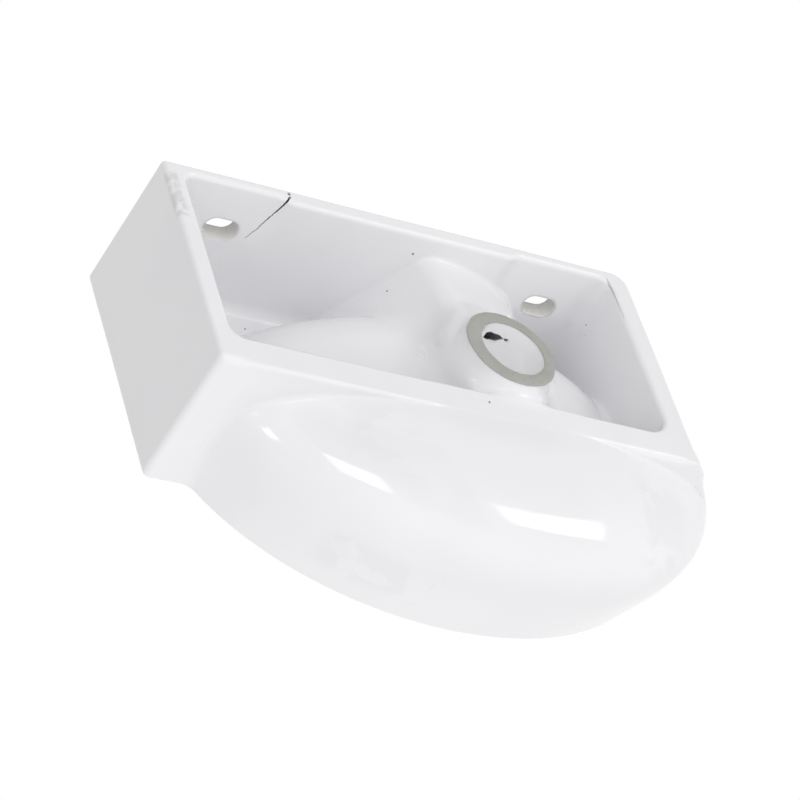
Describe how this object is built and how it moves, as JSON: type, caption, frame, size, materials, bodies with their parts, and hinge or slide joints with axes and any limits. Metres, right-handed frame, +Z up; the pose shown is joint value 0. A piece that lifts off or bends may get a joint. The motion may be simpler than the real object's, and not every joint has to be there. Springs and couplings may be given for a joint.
{
  "type": "wall-hung hand basin",
  "caption": "Small wall-hung hand basin in glazed china: offset oval bowl in a square case, hollow underneath, with a bare outlet seat and two fixing slots.",
  "frame": {"origin": "midway between the two fixing slots, on the plane of the wall", "axes": "+Y into the wall, -Y towards the user, +Z up, +X to the user's right"},
  "size_m": [0.4033, 0.2825, 0.118],
  "materials": {
    "glazed_china": "gloss",
    "ground_china": "matte"
  },
  "bodies": {
    "root": {"bowl_floor": "glazed_china", "bowl_back_right": "glazed_china", "bowl_back_left": "glazed_china", "bowl_front_right": "glazed_china", "bowl_front_left": "glazed_china", "belly_right": "glazed_china", "belly_left": "glazed_china", "belly_side": "glazed_china", "tap_landing": "glazed_china", "left_ledge": "glazed_china", "front_ledge": "glazed_china", "back_wall": "glazed_china", "right_side_wall": "glazed_china", "left_side_wall": "glazed_china", "front_apron_right": "glazed_china", "front_apron_left": "glazed_china", "waste_boss": "glazed_china", "overflow_duct": "glazed_china", "waste_seat": "ground_china"}
  },
  "joints": []
}
